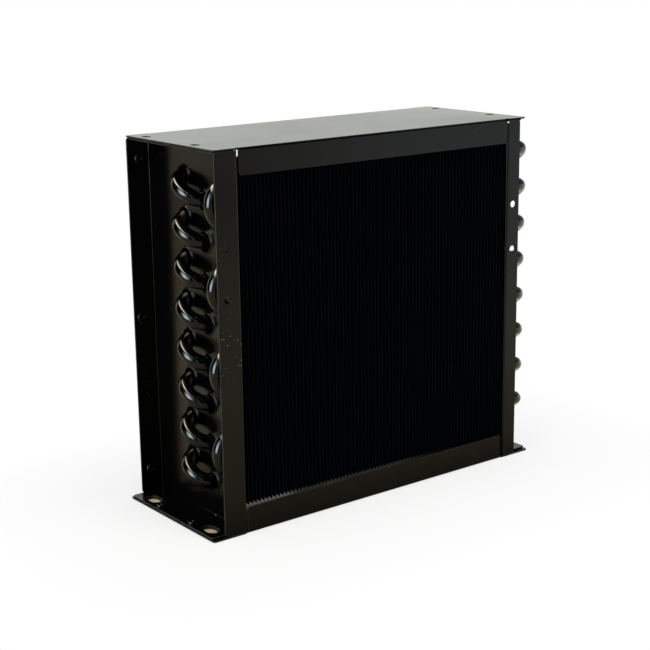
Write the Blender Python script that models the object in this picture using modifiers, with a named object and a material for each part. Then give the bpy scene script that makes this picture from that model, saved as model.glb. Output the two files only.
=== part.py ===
"""Finned condenser coil: a fin and tube heat exchanger in a folded sheet-metal casing.

The coil stands on its base plate. X runs along the tubes, the air goes in at the front (-Y) and
+Z is up. The origin is the centre of the base plate's underside. Lengths are in metres.
"""
import math

import bmesh
import bpy
from mathutils import Matrix, Vector

MM = 0.001

# Tubes and their pattern
TUBE_DIAMETER = 9.52 * MM
TUBE_PITCH = 25.0 * MM          # between the tubes of one row
ROW_PITCH = 21.65 * MM          # between the rows, front to rear
TUBES_PER_ROW = 8
ROW_COUNT = 3
TUBE_SIDES = 8

# Fins
FIN_PITCH = 2.822 * MM
FIN_COUNT = 75
FIN_THICKNESS = 0.2 * MM
FIN_START = 2.8 * MM            # left end plate to the first fin
FIN_END = 0.7 * MM              # last fin to the right end plate
GAP_DEPTH = 4.6 * MM            # depth of the open gaps at the front and rear of the fin pack

# Room round the fin pack inside the casing
SPACE_BELOW = 16.0 * MM
SPACE_ABOVE = 14.0 * MM
SPACE_REAR = 29.85 * MM

# Sheet metal
SHEET = 1.0 * MM
BASE_SHEET = 1.0 * MM
FOLD_RADIUS = 1.2 * MM          # on the inner side of each fold
FOLD_STEPS = 3
FLANGE_LEFT = 16.0 * MM
FLANGE_RIGHT = 11.2 * MM
TOP_FLANGE = 15.5 * MM          # flange of each end plate under the top plate
FOOT_REVEAL = 0.3 * MM          # foot past the flange that lies on it
TOP_LIP = 16.0 * MM
TOP_LIP_GAP = 1.3 * MM          # left end of the top's lips to the end plate
BASE_LIP = 16.7 * MM
BASE_LIP_GAP = 2.0 * MM         # right end of the base's lips to the end plate
TOP_OVERHANG = 16.3 * MM
FOOT_LENGTH = 24.3 * MM
RELIEF = 1.2 * MM               # open corner relief where two folds meet
SLIT = 0.4 * MM                 # closed corner between two folds
CORNER = 2.0 * MM               # rounding of outer corners
CORNER_STEPS = 2

# Holes in the casing
FRONT_HOLE = 4.6 * MM
FRONT_HOLE_DROP = 56.6 * MM     # top of the casing to the upper hole
FRONT_HOLE_PITCH = 30.2 * MM
FRONT_HOLE_INSET_LEFT = 9.4 * MM
FRONT_HOLE_INSET_RIGHT = 6.0 * MM
REAR_BUTTON = 6.8 * MM          # fastened points on the rear flanges
REAR_BUTTON_RISE = 16.8 * MM    # underside of the casing to the lower point
REAR_BUTTON_DROP = 15.0 * MM    # top of the casing to the upper point
REAR_BUTTON_SHIFT = 1.5 * MM    # middle point above half the casing's height
REAR_BUTTON_INSETS_LEFT = (9.1 * MM, 10.6 * MM, 7.6 * MM)
REAR_BUTTON_INSETS_RIGHT = (6.4 * MM, 6.4 * MM, 6.4 * MM)
TOP_HOLE = 5.5 * MM
TOP_HOLE_INSET = 6.0 * MM       # to the end of the top plate
TOP_HOLE_PITCH = 54.0 * MM
TOP_HOLE_SHIFT = 6.4 * MM       # the pair sits this far behind the middle
SLOT_WIDTH = 8.0 * MM
SLOT_LENGTH = 13.0 * MM
SLOT_INSET = 7.6 * MM           # slot's middle to the foot's end
SLOT_SPREAD = 65.0 * MM
SLOT_SHIFT = -0.5 * MM
FOOT_BUTTON = 5.2 * MM          # fastened points on the feet
FOOT_BUTTON_INSET = 4.5 * MM
FOOT_BUTTON_SPREAD = 36.8 * MM
FOOT_BUTTON_SHIFT = 1.0 * MM
BUTTON_HEIGHT = 1.0 * MM
BUTTON_TAPER = 0.6              # top of a button as a share of its foot
HOLE_SIDES = 12

# Drawn collars round the tubes in the end plates
COLLAR_HEIGHT = 0.8 * MM
COLLAR_WALL = 0.65 * MM

# Tube ends
BEND_SUNK = 3.3 * MM            # the hairpins' bends start this far behind the plate's face
BEND_STEPS = 8
LEG_PAST_PLATE = 8.3 * MM
BELL_DIAMETER = 11.2 * MM
BELL_LENGTH = 6.0 * MM
BELL_TAPER = 1.2 * MM
RETURN_LEG = 8.0 * MM           # straight run of a return bend
STUB_LENGTH = 26.0 * MM
STUB_WALL = 0.7 * MM
STUB_BORE_DEPTH = 18.0 * MM

# Clearances
SEAT_GAP = 0.3 * MM             # between pieces that touch
FIT_GAP = 0.3 * MM              # tube to the fin pack and to the right end plate
BEND_GAP = 0.5 * MM             # start of a hairpin's bend to the left end plate
EDGE_GAP = 0.9 * MM             # front edge of the fins to the lips

# Sizes worked out from those above
TUBE_RADIUS = TUBE_DIAMETER / 2
BEND_RADIUS = TUBE_PITCH / 2
FIN_HEIGHT = TUBES_PER_ROW * TUBE_PITCH
FIN_DEPTH = ROW_COUNT * ROW_PITCH
FIN_RUN = (FIN_COUNT - 1) * FIN_PITCH + FIN_THICKNESS
INNER_WIDTH = FIN_START + FIN_RUN + FIN_END
LIP_SHEET = max(SHEET, BASE_SHEET)
CASING_DEPTH = LIP_SHEET + EDGE_GAP + FIN_DEPTH + SPACE_REAR
FIN_BOTTOM = BASE_SHEET + SPACE_BELOW
CASING_HEIGHT = FIN_BOTTOM + FIN_HEIGHT + SPACE_ABOVE + SHEET
LEFT_FACE = -INNER_WIDTH / 2    # fin side of the left end plate
RIGHT_FACE = INNER_WIDTH / 2
FRONT = -CASING_DEPTH / 2
REAR = CASING_DEPTH / 2
FIN_FRONT = FRONT + LIP_SHEET + EDGE_GAP
FIN_LEFT = LEFT_FACE + FIN_START
LEFT_OUTSIDE = LEFT_FACE - SHEET
RIGHT_OUTSIDE = RIGHT_FACE + SHEET
LEG_END = RIGHT_OUTSIDE + LEG_PAST_PLATE
BEND_START = LEFT_OUTSIDE + BEND_SUNK
PLATE_LOW = BASE_SHEET + SEAT_GAP
PLATE_HIGH = CASING_HEIGHT - SHEET - SEAT_GAP
TOP_LENGTH = INNER_WIDTH + 2 * TOP_OVERHANG
BASE_LENGTH = INNER_WIDTH + 2 * FOOT_LENGTH


def row_y(row):
    """Middle of a tube row; row 0 is at the front."""
    return FIN_FRONT + (row + 0.5) * ROW_PITCH


def tube_z(row, index):
    """Height of a tube; index 0 is at the top, and the odd rows sit half a pitch lower."""
    top = FIN_BOTTOM + FIN_HEIGHT - TUBE_PITCH / 4
    return top - index * TUBE_PITCH - (row % 2) * TUBE_PITCH / 2


def tube_centre(row, index):
    return Vector((0.0, row_y(row), tube_z(row, index)))


def all_tubes():
    return [tube_centre(row, index) for row in range(ROW_COUNT) for index in range(TUBES_PER_ROW)]


def circumradius(apothem, sides):
    """Corner radius of a polygon whose flats touch a circle."""
    return apothem / math.cos(math.pi / sides)


def clear_scene():
    for old in list(bpy.data.objects):
        bpy.data.objects.remove(old, do_unlink=True)


def make_collection(name):
    collection = bpy.data.collections.new(name)
    bpy.context.scene.collection.children.link(collection)
    return collection


def make_material(name, colour, metallic, roughness):
    material = bpy.data.materials.new(name)
    material.use_nodes = True
    material.diffuse_color = (*colour, 1.0)
    shader = material.node_tree.nodes["Principled BSDF"]
    shader.inputs["Base Color"].default_value = (*colour, 1.0)
    shader.inputs["Metallic"].default_value = metallic
    shader.inputs["Roughness"].default_value = roughness
    return material


clear_scene()
PIECES = make_collection("condenser_coil")
CUTTERS = make_collection("cutters")
CASING_COAT = make_material("casing_gloss_black", (0.018, 0.017, 0.015), 0.0, 0.18)
FIN_COAT = make_material("fin_matt_black", (0.006, 0.007, 0.010), 0.0, 0.45)
TUBE_COAT = make_material("tube_gloss_black", (0.012, 0.012, 0.012), 0.0, 0.10)


def mesh_object(name, bm, material=None, collection=None):
    mesh = bpy.data.meshes.new(name)
    bm.to_mesh(mesh)
    bm.free()
    item = bpy.data.objects.new(name, mesh)
    (collection or PIECES).objects.link(item)
    if material:
        mesh.materials.append(material)
    return item


def make_cutter(name, bm):
    item = mesh_object(name, bm, collection=CUTTERS)
    item.hide_render = True
    item.display_type = "WIRE"
    return item


def add_boolean(item, cutter, operation):
    modifier = item.modifiers.new(cutter.name, "BOOLEAN")
    modifier.operation = operation
    modifier.solver = "EXACT"
    modifier.object = cutter


def rods(name, centres, diameter_across, axis, low, high, sides=HOLE_SIDES, taper=1.0):
    """Round rods along one axis, at each centre, from low to high; Z tapers up and Y towards the front."""
    turn = {"X": Matrix.Rotation(math.pi / 2, 4, "Y"), "Y": Matrix.Rotation(math.pi / 2, 4, "X"),
            "Z": Matrix.Identity(4)}[axis]
    place = "XYZ".index(axis)
    radius = circumradius(diameter_across / 2, sides)
    bm = bmesh.new()
    for centre in centres:
        middle = Vector(centre)
        middle[place] = (low + high) / 2
        bmesh.ops.create_cone(bm, cap_ends=True, segments=sides, radius1=radius, radius2=radius * taper,
                              depth=high - low, matrix=Matrix.Translation(middle) @ turn)
    return make_cutter(name, bm)


def corner_arc(before, corner, after, radius):
    """Points of an arc that rounds a right-angled corner."""
    to_last = (before - corner).normalized()
    to_next = (after - corner).normalized()
    middle = corner + (to_last + to_next) * radius
    points = []
    for step in range(CORNER_STEPS + 1):
        angle = math.pi / 2 * step / CORNER_STEPS
        points.append(middle - (to_next * math.cos(angle) + to_last * math.sin(angle)) * radius)
    return points


def fold(bm, low, high, outward, turned, radius):
    """Sweep the edge between two vertices through a right angle and give its new vertices."""
    start_low = low.co.copy()
    start_high = high.co.copy()
    for step in range(1, FOLD_STEPS + 1):
        angle = math.pi / 2 * step / FOLD_STEPS
        shift = outward * radius * math.sin(angle) + turned * radius * (1 - math.cos(angle))
        next_low = bm.verts.new(start_low + shift)
        next_high = bm.verts.new(start_high + shift)
        bm.faces.new((low, high, next_high, next_low))
        low = next_low
        high = next_high
    return low, high


def sheet_object(name, bm, thickness):
    """Give the folded middle surface its thickness."""
    bmesh.ops.recalc_face_normals(bm, faces=bm.faces)
    item = mesh_object(name, bm, CASING_COAT)
    solidify = item.modifiers.new("sheet", "SOLIDIFY")
    solidify.thickness = thickness
    solidify.offset = 0.0
    solidify.use_even_offset = True
    return item


def flange_face(bm, root_first, root_last, edge_first, edge_last):
    """Flat flange past a fold, with its two outer corners rounded."""
    points = (corner_arc(root_first.co, edge_first, edge_last, CORNER)
              + corner_arc(edge_first, edge_last, root_last.co, CORNER))
    bm.faces.new((root_first, *[bm.verts.new(point) for point in points], root_last))


def end_plate(name, side, flange):
    """Tube sheet: a web with its front and rear flanges turned outwards; the front corners are relieved."""
    bm = bmesh.new()
    radius = FOLD_RADIUS + SHEET / 2
    web_x = side * (INNER_WIDTH + SHEET) / 2
    edge_x = side * (INNER_WIDTH / 2 + flange)
    front = FRONT + SHEET / 2 + radius
    rear = REAR - SHEET / 2 - radius
    low = PLATE_LOW + SHEET / 2 + radius
    high = PLATE_HIGH - SHEET / 2 - radius
    outline = ((front, low), (front + RELIEF, low), (front + RELIEF, PLATE_LOW), (rear, PLATE_LOW),
               (rear, PLATE_HIGH), (front + RELIEF, PLATE_HIGH), (front + RELIEF, high), (front, high))
    web = [bm.verts.new((web_x, y, z)) for y, z in outline]
    bm.faces.new(web)
    out = Vector((side, 0, 0))
    front_low, front_high = fold(bm, web[0], web[7], Vector((0, -1, 0)), out, radius)
    y = front_low.co.y
    step_x = front_low.co.x + side * SLIT
    step_low = bm.verts.new((step_x, y, PLATE_LOW))
    step_high = bm.verts.new((step_x, y, PLATE_HIGH))
    bm.faces.new((front_low, step_low, step_high, front_high))
    flange_face(bm, step_low, step_high, Vector((edge_x, y, PLATE_LOW)), Vector((edge_x, y, PLATE_HIGH)))
    rear_low, rear_high = fold(bm, web[3], web[4], Vector((0, 1, 0)), out, radius)
    y = rear_low.co.y
    flange_face(bm, rear_low, rear_high, Vector((edge_x, y, PLATE_LOW)), Vector((edge_x, y, PLATE_HIGH)))
    return sheet_object(name, bm, SHEET)


def level_flange(name, side, length, level):
    """Flat flange at the foot or the top of an end plate, from its outer face outwards."""
    bm = bmesh.new()
    start_x = side * (INNER_WIDTH / 2 + SHEET + SEAT_GAP)
    end_x = side * (INNER_WIDTH / 2 + length)
    front_y = FRONT + SHEET + FOLD_RADIUS + RELIEF
    rear_y = REAR - SHEET - FOLD_RADIUS - SLIT
    root_front = bm.verts.new((start_x, front_y, level))
    root_rear = bm.verts.new((start_x, rear_y, level))
    flange_face(bm, root_front, root_rear, Vector((end_x, front_y, level)), Vector((end_x, rear_y, level)))
    return sheet_object(name, bm, SHEET)


def add_tube_holes(plate, side, hole_radius):
    """Draw a collar round each tube, towards the outside, and pierce the plate."""
    middle = side * (INNER_WIDTH + SHEET) / 2
    outside = side * (INNER_WIDTH / 2 + SHEET)
    rim = outside + side * COLLAR_HEIGHT
    collars = rods(plate.name + "_collars", all_tubes(), 2 * (hole_radius + COLLAR_WALL), "X",
                   min(middle, rim), max(middle, rim))
    add_boolean(plate, collars, "UNION")
    inner = side * INNER_WIDTH / 2 - side * SHEET
    beyond = rim + side * SHEET
    bores = rods(plate.name + "_bores", all_tubes(), 2 * hole_radius, "X",
                 min(inner, beyond), max(inner, beyond))
    add_boolean(plate, bores, "DIFFERENCE")


def add_front_holes(plate, side, inset, heights):
    """Round holes in the front flange for a shroud."""
    places = [(side * (INNER_WIDTH / 2 + inset), 0, height) for height in heights]
    cutter = rods(plate.name + "_front_holes", places, FRONT_HOLE, "Y", FRONT - SHEET, FRONT + 2 * SHEET)
    add_boolean(plate, cutter, "DIFFERENCE")


def add_rear_buttons(plate, side, insets):
    """Raised round points on the inner side of the rear flange."""
    heights = (REAR_BUTTON_RISE, CASING_HEIGHT / 2 + REAR_BUTTON_SHIFT, CASING_HEIGHT - REAR_BUTTON_DROP)
    places = [(side * (INNER_WIDTH / 2 + inset), 0, height) for inset, height in zip(insets, heights)]
    tip = REAR - SHEET - BUTTON_HEIGHT
    rear = rods(plate.name + "_rear_buttons", places, REAR_BUTTON, "Y", tip, REAR - SHEET / 2,
                taper=BUTTON_TAPER)
    add_boolean(plate, rear, "UNION")


def add_foot_buttons(flange, side):
    """Raised round points on top of a foot."""
    foot_x = side * (BASE_LENGTH / 2 - FOOT_BUTTON_INSET)
    places = [(foot_x, FOOT_BUTTON_SHIFT + way * FOOT_BUTTON_SPREAD / 2, 0) for way in (-1, 1)]
    top = PLATE_LOW + SHEET
    foot = rods(flange.name + "_buttons", places, FOOT_BUTTON, "Z", top - SHEET / 2, top + BUTTON_HEIGHT,
                taper=BUTTON_TAPER)
    add_boolean(flange, foot, "UNION")


def lipped_plate(name, length, lip_left, lip_right, level, way, lip_edge, thickness):
    """Top or base: a flat plate past both end plates, with a lip at the front and the rear."""
    bm = bmesh.new()
    radius = FOLD_RADIUS + thickness / 2
    fold_y = CASING_DEPTH / 2 - thickness / 2 - radius
    half = length / 2
    flat = []
    for y_way in (-1, 1):
        edge_y = y_way * CASING_DEPTH / 2
        left_end = Vector((-half, edge_y, level))
        right_end = Vector((half, edge_y, level))
        left_side = Vector((-half, 0, level))
        right_side = Vector((half, 0, level))
        side = [*corner_arc(left_side, left_end, right_end, CORNER),
                Vector((lip_left - RELIEF, edge_y, level)), Vector((lip_left, y_way * fold_y, level)),
                Vector((lip_right, y_way * fold_y, level)), Vector((lip_right + RELIEF, edge_y, level)),
                *corner_arc(left_end, right_end, right_side, CORNER)]
        flat.append([bm.verts.new(point) for point in side])
    bm.faces.new(flat[0] + flat[1][::-1])
    first = CORNER_STEPS + 2
    for verts, y_way in zip(flat, (-1, 1)):
        outward = Vector((0, y_way, 0))
        turned = Vector((0, 0, way))
        root_left, root_right = fold(bm, verts[first], verts[first + 1], outward, turned, radius)
        y = root_left.co.y
        edge_left = Vector((lip_left, y, lip_edge))
        edge_right = Vector((lip_right, y, lip_edge))
        points = (corner_arc(root_left.co, edge_left, edge_right, CORNER)
                  + corner_arc(edge_left, edge_right, root_right.co, CORNER))
        bm.faces.new((root_left, *[bm.verts.new(point) for point in points], root_right))
    return sheet_object(name, bm, thickness)


def cut_top_holes(plate, sides):
    """Holes near the ends of the top plate and in the flanges under it."""
    hole_x = TOP_LENGTH / 2 - TOP_HOLE_INSET
    centres = [(side * hole_x, TOP_HOLE_SHIFT + way * TOP_HOLE_PITCH / 2, 0)
               for side in sides for way in (-1, 1)]
    holes = rods(plate.name + "_top_holes", centres, TOP_HOLE, "Z", PLATE_HIGH - 2 * SHEET,
                 CASING_HEIGHT + SHEET)
    add_boolean(plate, holes, "DIFFERENCE")


def cut_foot_slots(plate, sides):
    """Slots with round ends along Y, through a foot and the flange on it."""
    bm = bmesh.new()
    radius = SLOT_WIDTH / 2
    straight = SLOT_LENGTH / 2 - radius
    slot_x = BASE_LENGTH / 2 - SLOT_INSET
    for side in sides:
        for way in (-1, 1):
            y = SLOT_SHIFT + way * SLOT_SPREAD / 2
            outline = []
            for step in range(HOLE_SIDES):
                angle = 2 * math.pi * (step + 0.5) / HOLE_SIDES
                shift = straight if math.sin(angle) > 0 else -straight
                outline.append(bm.verts.new((side * slot_x + radius * math.cos(angle),
                                             y + radius * math.sin(angle) + shift, -BASE_SHEET)))
            wall = bmesh.ops.extrude_face_region(bm, geom=[bm.faces.new(outline)])
            raised = [part for part in wall["geom"] if isinstance(part, bmesh.types.BMVert)]
            bmesh.ops.translate(bm, verts=raised, vec=(0, 0, PLATE_LOW + 2 * SHEET + BASE_SHEET))
    bmesh.ops.recalc_face_normals(bm, faces=bm.faces)
    add_boolean(plate, make_cutter(plate.name + "_slots", bm), "DIFFERENCE")


def top_plate():
    plate = lipped_plate("top_plate", TOP_LENGTH, TOP_LIP_GAP - INNER_WIDTH / 2, INNER_WIDTH / 2 - SEAT_GAP,
                         CASING_HEIGHT - SHEET / 2, -1, CASING_HEIGHT - TOP_LIP, SHEET)
    cut_top_holes(plate, (-1, 1))


def base_plate():
    plate = lipped_plate("base_plate", BASE_LENGTH, SEAT_GAP - INNER_WIDTH / 2,
                         INNER_WIDTH / 2 - BASE_LIP_GAP, BASE_SHEET / 2, 1, BASE_LIP, BASE_SHEET)
    cut_foot_slots(plate, (-1, 1))


def boxes(bm, places, size):
    """Add one box of the given size at each place."""
    for place in places:
        bmesh.ops.create_cube(bm, size=1.0, matrix=Matrix.Translation(place) @ Matrix.Diagonal((*size, 1.0)))


def fin_pack():
    """The fins as one comb: their front and rear edges stand free, and each tube has its bore."""
    middle = Vector((FIN_LEFT + FIN_RUN / 2, FIN_FRONT + FIN_DEPTH / 2, FIN_BOTTOM + FIN_HEIGHT / 2))
    bm = bmesh.new()
    boxes(bm, [middle], (FIN_RUN, FIN_DEPTH, FIN_HEIGHT))
    pack = mesh_object("fin_pack", bm, FIN_COAT)
    first = FIN_LEFT + (FIN_PITCH + FIN_THICKNESS) / 2
    edges = (FIN_FRONT, FIN_FRONT + FIN_DEPTH)
    gaps = [Vector((first + index * FIN_PITCH, y, middle.z))
            for y in edges for index in range(FIN_COUNT - 1)]
    bm = bmesh.new()
    boxes(bm, gaps, (FIN_PITCH - FIN_THICKNESS, 2 * GAP_DEPTH, 2 * FIN_HEIGHT))
    add_boolean(pack, make_cutter("fin_gaps", bm), "DIFFERENCE")
    bores = rods("fin_bores", all_tubes(), TUBE_DIAMETER + 2 * FIT_GAP, "X", FIN_LEFT - FIN_PITCH,
                 FIN_LEFT + FIN_RUN + FIN_PITCH, TUBE_SIDES)
    add_boolean(pack, bores, "DIFFERENCE")


def tube(name, points):
    """A bent tube through the points; each comes with its width as a share of the tube's."""
    curve = bpy.data.curves.new(name, "CURVE")
    curve.dimensions = "3D"
    curve.bevel_depth = TUBE_RADIUS
    curve.bevel_resolution = TUBE_SIDES // 2 - 2
    curve.use_fill_caps = True
    spline = curve.splines.new("POLY")
    spline.points.add(len(points) - 1)
    for point, (place, width) in zip(spline.points, points):
        point.co = (*place, 1)
        point.radius = width
    curve.materials.append(TUBE_COAT)
    item = bpy.data.objects.new(name, curve)
    PIECES.objects.link(item)


def bend_points(first, last, start_x, way):
    """Half circle from one tube to its neighbour, towards -X or +X."""
    middle = (first + last) / 2
    points = []
    for step in range(BEND_STEPS + 1):
        angle = math.pi * step / BEND_STEPS
        reach = start_x + way * BEND_RADIUS * math.sin(angle)
        across = (first - last) / 2 * math.cos(angle)
        points.append((middle + across + Vector((reach, 0, 0)), 1.0))
    return points


def hairpin(name, first, last):
    """Two legs through the coil and one bend at the left, with belled ends at the right."""
    bell = BELL_DIAMETER / TUBE_DIAMETER
    bell_x = ((LEG_END, bell), (LEG_END - BELL_LENGTH, bell), (LEG_END - BELL_LENGTH - BELL_TAPER, 1.0))
    start = [(first + Vector((x, 0, 0)), width) for x, width in bell_x]
    end = [(last + Vector((x, 0, 0)), width) for x, width in bell_x]
    tube(name, start + bend_points(first, last, BEND_START, -1) + end[::-1])


def return_bend(name, first, last):
    """U-bend brazed into two belled ends at the right."""
    foot = Vector((LEG_END + SEAT_GAP, 0, 0))
    bend = bend_points(first, last, foot.x + RETURN_LEG, 1)
    tube(name, [(first + foot, 1.0), *bend, (last + foot, 1.0)])


def stub(name, centre):
    """Straight end of the circuit with an open bore, turned about its own axis."""
    bore = TUBE_RADIUS - STUB_WALL
    floor = STUB_LENGTH - STUB_BORE_DEPTH
    profile = ((0, floor), (bore, floor), (bore, STUB_LENGTH), (TUBE_RADIUS, STUB_LENGTH), (TUBE_RADIUS, 0),
               (0, 0))
    bm = bmesh.new()
    verts = [bm.verts.new((x, 0, z)) for x, z in profile]
    for first, last in zip(verts, verts[1:]):
        bm.edges.new((first, last))
    item = mesh_object(name, bm, TUBE_COAT)
    screw = item.modifiers.new("turned", "SCREW")
    screw.steps = HOLE_SIDES
    screw.render_steps = HOLE_SIDES
    screw.use_merge_vertices = True
    screw.merge_threshold = 0.001 * MM
    item.rotation_euler = (0, math.pi / 2, 0)
    item.location = centre + Vector((LEG_END + SEAT_GAP, 0, 0))


def sideways_at(depth):
    """How far a hairpin's bend has left its leg's line at a depth past its start."""
    return BEND_RADIUS - math.sqrt(max(BEND_RADIUS ** 2 - depth ** 2, 0))


def casing():
    left_hole = TUBE_RADIUS + sideways_at(BEND_SUNK + COLLAR_HEIGHT) + BEND_GAP
    upper = CASING_HEIGHT - FRONT_HOLE_DROP
    lower = upper - FRONT_HOLE_PITCH
    left = end_plate("end_plate_left", -1, FLANGE_LEFT)
    add_tube_holes(left, -1, left_hole)
    add_front_holes(left, -1, FRONT_HOLE_INSET_LEFT, (lower,))
    add_rear_buttons(left, -1, REAR_BUTTON_INSETS_LEFT)
    right = end_plate("end_plate_right", 1, FLANGE_RIGHT)
    add_tube_holes(right, 1, TUBE_RADIUS + FIT_GAP)
    add_front_holes(right, 1, FRONT_HOLE_INSET_RIGHT, (upper, lower))
    add_rear_buttons(right, 1, REAR_BUTTON_INSETS_RIGHT)
    for side, word in ((-1, "left"), (1, "right")):
        upper_flange = level_flange("top_flange_" + word, side, TOP_FLANGE, PLATE_HIGH - SHEET / 2)
        cut_top_holes(upper_flange, (side,))
        foot_flange = level_flange("foot_flange_" + word, side, FOOT_LENGTH - FOOT_REVEAL,
                                   PLATE_LOW + SHEET / 2)
        add_foot_buttons(foot_flange, side)
        cut_foot_slots(foot_flange, (side,))
    top_plate()
    base_plate()


def circuit():
    """One path: each rear tube joins the middle row at the left, and that the front row at the right."""
    front, middle, rear = 0, 1, 2
    for index in range(TUBES_PER_ROW):
        hairpin(f"hairpin_rear_{index + 1}", tube_centre(rear, index), tube_centre(middle, index))
        return_bend(f"return_bend_front_{index + 1}", tube_centre(front, index), tube_centre(middle, index))
    for pair in range(TUBES_PER_ROW // 2):
        hairpin(f"hairpin_front_{pair + 1}", tube_centre(front, 2 * pair), tube_centre(front, 2 * pair + 1))
    for pair in range(TUBES_PER_ROW // 2 - 1):
        return_bend(f"return_bend_rear_{pair + 1}", tube_centre(rear, 2 * pair + 1),
                    tube_centre(rear, 2 * pair + 2))
    stub("inlet_tube", tube_centre(rear, 0))
    stub("outlet_tube", tube_centre(rear, TUBES_PER_ROW - 1))


casing()
fin_pack()
circuit()
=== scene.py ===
"""Finned condenser coil, dressed for its photograph: coated sheet casing, thin fins, bent tubes.

Lengths are in millimetres until a mesh is finished, and in metres after that. A side is -1 for
the coil's left end and 1 for its right end.
"""

import math

import bmesh
import bpy
from mathutils import Matrix, Vector
from mathutils.geometry import tessellate_polygon


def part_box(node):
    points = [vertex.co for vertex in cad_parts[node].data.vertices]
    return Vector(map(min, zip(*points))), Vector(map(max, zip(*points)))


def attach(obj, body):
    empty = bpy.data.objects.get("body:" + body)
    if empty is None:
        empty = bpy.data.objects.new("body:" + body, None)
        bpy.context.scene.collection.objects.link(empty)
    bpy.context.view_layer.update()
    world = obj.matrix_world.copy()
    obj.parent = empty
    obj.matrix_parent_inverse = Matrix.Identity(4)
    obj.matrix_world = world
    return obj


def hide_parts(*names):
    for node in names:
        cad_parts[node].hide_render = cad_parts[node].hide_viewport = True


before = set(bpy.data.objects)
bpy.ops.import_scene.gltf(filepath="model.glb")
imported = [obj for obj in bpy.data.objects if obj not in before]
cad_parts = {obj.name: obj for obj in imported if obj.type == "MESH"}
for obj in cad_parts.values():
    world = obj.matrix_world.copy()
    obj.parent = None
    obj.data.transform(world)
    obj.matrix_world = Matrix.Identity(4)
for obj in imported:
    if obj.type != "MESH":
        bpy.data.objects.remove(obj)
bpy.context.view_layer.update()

MM = 0.001

# Casing
INNER_WIDTH = 212.528       # between the end plates
DEPTH = 96.7
HEIGHT = 232.0
SHEET = 1.0
BASE_SHEET = 1.0
SEAT_GAP = 0.3              # between sheets that lie on each other
INNER_FOLD = 0.38           # radius on the inner side of each fold
FOLD_STEPS = 8
FLANGE = {-1: 16.0, 1: 11.2}
TOP_FLANGE = 15.5           # of each end plate, under the top plate
TOP_OVERHANG = 16.3
TOP_LIP = 16.0
TOP_LIP_GAP = 0.75          # left end of the top's lips to the end plate
FOOT = 24.3
FOOT_REVEAL = 0.3           # foot past the flange that lies on it
BASE_LIP = 16.7
BASE_LIP_GAP = 2.0          # right end of the base's lips to the end plate
CORNER = 2.0                # rounding of outer corners
CORNER_STEPS = 6
OUTER_CORNERS = (0, 4, 5, 9, 10, 14, 15, 19)
RELIEF = 1.2                # open corner relief where two folds meet
SLIT = 0.4                  # closed corner between two folds
SIDE_NOTCH = 0.1            # how far a relief reaches past the start of a side fold
LEVEL_NOTCH = 0.2           # the same for the level flanges
LIP_NOTCH = 0.25            # the same for the lips
LEVEL_REACH = (0.3, 0.25)   # margins beside the level flanges in which the sheet folds with them
EDGE_CHAMFER = 0.15

# How much paler the coat is at cut edges: partly wear, partly a painted highlight along the edges
CUT_WEAR_AND_HIGHLIGHT = 0.4
HOLE_WEAR_AND_HIGHLIGHT = 0.15
TOP_WEAR_AND_HIGHLIGHT = 0.03
WALL_WEAR_AND_HIGHLIGHT = 0.15            # share that is left between the two chamfers of an edge

# Holes
HOLE_SIDES = 32
FRONT_HOLE = 4.6
FRONT_HOLE_HEIGHTS = (175.4, 145.2)
FRONT_HOLE_INSET = {-1: 9.4, 1: 6.0}
TOP_HOLE = 5.5
TOP_HOLE_INSET = 6.0
TOP_HOLE_Y = (-20.6, 33.4)
SLOT_WIDTH = 8.0
SLOT_LENGTH = 13.0
SLOT_INSET = 7.6
SLOT_Y = (-33.0, 32.0)
SLOT_STEPS = 14

# Plug of the upper front hole at the left: (in from its rim, below the flange's face)
PLUG_GAP = 0.1
PLUG_RIM = ((0.0, 0.85), (0.0, 0.1), (0.15, 0.0), (0.5, 0.07), (1.0, 0.1))

# Raised round points that hold the sheets together
REAR_BUTTON = 6.8
REAR_BUTTON_HEIGHTS = (16.8, 117.5, 217.0)
REAR_BUTTON_INSETS = {-1: (9.1, 10.6, 7.6), 1: (6.4, 6.4, 6.4)}
FOOT_BUTTON = 5.2
FOOT_BUTTON_INSET = 4.5
FOOT_BUTTON_Y = (-17.4, 19.4)
BUTTON_HEIGHT = 1.0
BUTTON_SHOULDER = 0.9
BUTTON_SUNK = 0.4
BUTTON_DIMPLE = ((0.44, 0.98), (0.38, 0.9), (0.33, 0.7), (0.26, 0.5), (0.01, 0.42))
TACK_BEAD = 1.3
TACK_BEAD_SUNK = 0.2
TACK_BEAD_Y = (-16.0, -44.5)
AXIS_GAP = 0.02             # between a turned profile and its axis

# Tubes
TUBE = 9.52
TUBE_PITCH = 25.0
ROW_PITCH = 21.65
ROWS = 3
PER_ROW = 8
FIRST_ROW_Y = -35.625
TOP_TUBE_Z = 210.75
BEND_START = -103.964
LEG_END = 115.564
BELL = 11.2
BELL_LENGTH = 6.0
RETURN_LEG = 8.3
STUB_LENGTH = 26.3
STUB_WALL = 0.7
STUB_BORE_DEPTH = 18.0
BEND_FLATTENING = 0.035
TUBE_SIDES = 28
BEND_STEPS = 22

# Profiles of the joints, as (place past the legs' end, radius)
BELL_PROFILE = ((-2.5, TUBE / 2 + 0.02), (-0.2, TUBE / 2 + 0.1), (0.0, TUBE / 2 + 0.3),
                (0.0, BELL / 2 - 0.15), (-0.15, BELL / 2), (-BELL_LENGTH, BELL / 2),
                (-BELL_LENGTH - 0.4, BELL / 2 - 0.15), (-BELL_LENGTH - 1.2, TUBE / 2))
BRAZE_PROFILE = ((-2.0, TUBE / 2), (-0.1, TUBE / 2 + 0.05), (0.0, TUBE / 2 + 0.62),
                 (0.3, TUBE / 2 + 0.36), (0.8, TUBE / 2 + 0.13), (1.5, TUBE / 2))

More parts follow.
